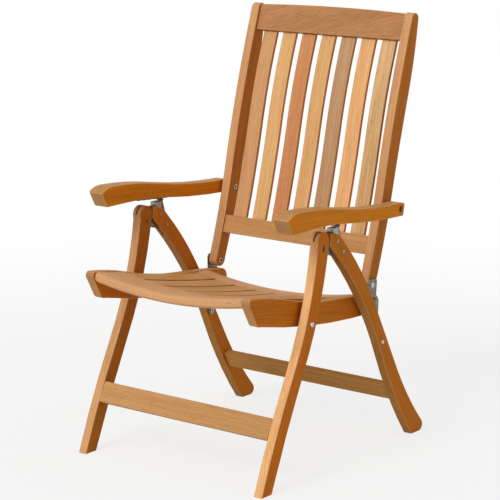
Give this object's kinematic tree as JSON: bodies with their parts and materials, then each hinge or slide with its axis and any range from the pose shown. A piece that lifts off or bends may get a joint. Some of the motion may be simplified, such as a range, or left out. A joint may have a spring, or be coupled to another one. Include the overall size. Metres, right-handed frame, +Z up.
{
  "type": "folding armchair",
  "caption": "High-backed slatted teak armchair that folds flat, with a reclining back held by armrests notched on steel pins.",
  "frame": {"origin": "centre of the chair's footprint box on the floor, in the open and upright position", "axes": "+X to the sitter's left, -Y is the front, +Z up"},
  "size_m": [0.6194, 0.7064, 1.0921],
  "materials": {
    "teak_golden": "oiled teak, satin",
    "teak_pink": "oiled teak, satin",
    "teak_orange": "oiled teak, satin",
    "teak_brown": "oiled teak, satin",
    "teak_pale": "oiled teak, satin",
    "steel_plate": "dull grey steel plate",
    "steel_bolt": "bright steel"
  },
  "bodies": {
    "front_frame": {"front_leg_left": "teak_golden", "front_leg_right": "teak_golden", "front_stretcher": "teak_golden", "leg_pivot_bolts": "steel_bolt", "seat_pivot_bolts": "steel_bolt"},
    "rear_frame": {"rear_leg_left": "teak_golden", "rear_leg_right": "teak_golden", "rear_stretcher": "teak_brown", "leg_bracket_left": "steel_plate", "leg_bracket_right": "steel_plate", "link_bolts": "steel_bolt"},
    "seat": {"seat_rail_left": "teak_golden", "seat_rail_right": "teak_golden", "seat_front_rail": "teak_pink", "seat_rear_rail": "teak_pink", "seat_slat_1": "teak_pale", "seat_slat_2": "teak_golden", "seat_slat_3": "teak_golden", "seat_slat_4": "teak_pink", "seat_slat_5": "teak_golden", "seat_slat_6": "teak_pale", "seat_slat_7": "teak_golden", "hinge_plate_left": "steel_plate", "hinge_plate_right": "steel_plate", "link_stubs": "steel_bolt"},
    "folding_links": {"folding_link_left": "steel_plate", "folding_link_right": "steel_plate"},
    "back_pivot_bolts": {"back_pivot_bolts": "steel_bolt"},
    "backrest": {"back_stile_left": "teak_golden", "back_stile_right": "teak_golden", "back_top_rail": "teak_orange", "back_bottom_rail": "teak_pink", "back_slat_1": "teak_pink", "back_slat_2": "teak_golden", "back_slat_3": "teak_orange", "back_slat_4": "teak_golden", "back_slat_5": "teak_brown", "back_slat_6": "teak_golden", "back_slat_7": "teak_pale"},
    "arm_pivot_bolts": {"arm_pivot_bolts": "steel_bolt"},
    "arm_pivot_sleeves": {"arm_pivot_sleeves": "steel_bolt"},
    "arm_left": {"armrest_left": "teak_golden", "armrest_rack_left": "steel_plate"},
    "arm_right": {"armrest_right": "teak_golden", "armrest_rack_right": "steel_plate"}
  },
  "joints": [
    {"name": "leg_fold", "type": "hinge", "parent": "front_frame", "child": "rear_frame", "pos_m": [0, -0.1034, 0.5607], "axis": [-1, 0, 0], "range_deg": [0, 40]},
    {"name": "seat_fold", "type": "hinge", "parent": "front_frame", "child": "seat", "pos_m": [0, -0.152, 0.3836], "axis": [-1, 0, 0], "range_deg": [0, 69]},
    {"name": "link_fold", "type": "hinge", "parent": "rear_frame", "child": "folding_links", "pos_m": [0, 0.1554, 0.277], "axis": [-1, 0, 0], "range_deg": [0, 112]},
    {"name": "back_recline", "type": "hinge", "parent": "seat", "child": "back_pivot_bolts", "pos_m": [0, 0.153, 0.42], "axis": [-1, 0, 0], "range_deg": [0, 28]},
    {"name": "back_fold", "type": "hinge", "parent": "back_pivot_bolts", "child": "backrest", "pos_m": [0, 0.153, 0.42], "axis": [1, 0, 0], "range_deg": [0, 86.5]},
    {"name": "arm_recline", "type": "hinge", "parent": "backrest", "child": "arm_pivot_bolts", "pos_m": [0, 0.2167, 0.6093], "axis": [1, 0, 0], "range_deg": [0, 20.5]},
    {"name": "arm_fold", "type": "hinge", "parent": "arm_pivot_bolts", "child": "arm_pivot_sleeves", "pos_m": [0, 0.2167, 0.6093], "axis": [-1, 0, 0], "range_deg": [0, 110.5]},
    {"name": "arm_lift_left", "type": "hinge", "parent": "arm_pivot_sleeves", "child": "arm_left", "pos_m": [0, 0.2167, 0.6093], "axis": [-1, 0, 0], "range_deg": [0, 60]},
    {"name": "arm_lift_right", "type": "hinge", "parent": "arm_pivot_sleeves", "child": "arm_right", "pos_m": [0, 0.2167, 0.6093], "axis": [-1, 0, 0], "range_deg": [0, 60]}
  ],
  "couplings": [
    {"joint": "seat_fold", "follows": "leg_fold", "ratio": 1.72},
    {"joint": "link_fold", "follows": "leg_fold", "ratio": 2.7875},
    {"joint": "back_fold", "follows": "leg_fold", "ratio": 2.15},
    {"joint": "arm_fold", "follows": "leg_fold", "ratio": 2.75},
    {"joint": "arm_recline", "follows": "back_recline", "ratio": 0.72}
  ]
}
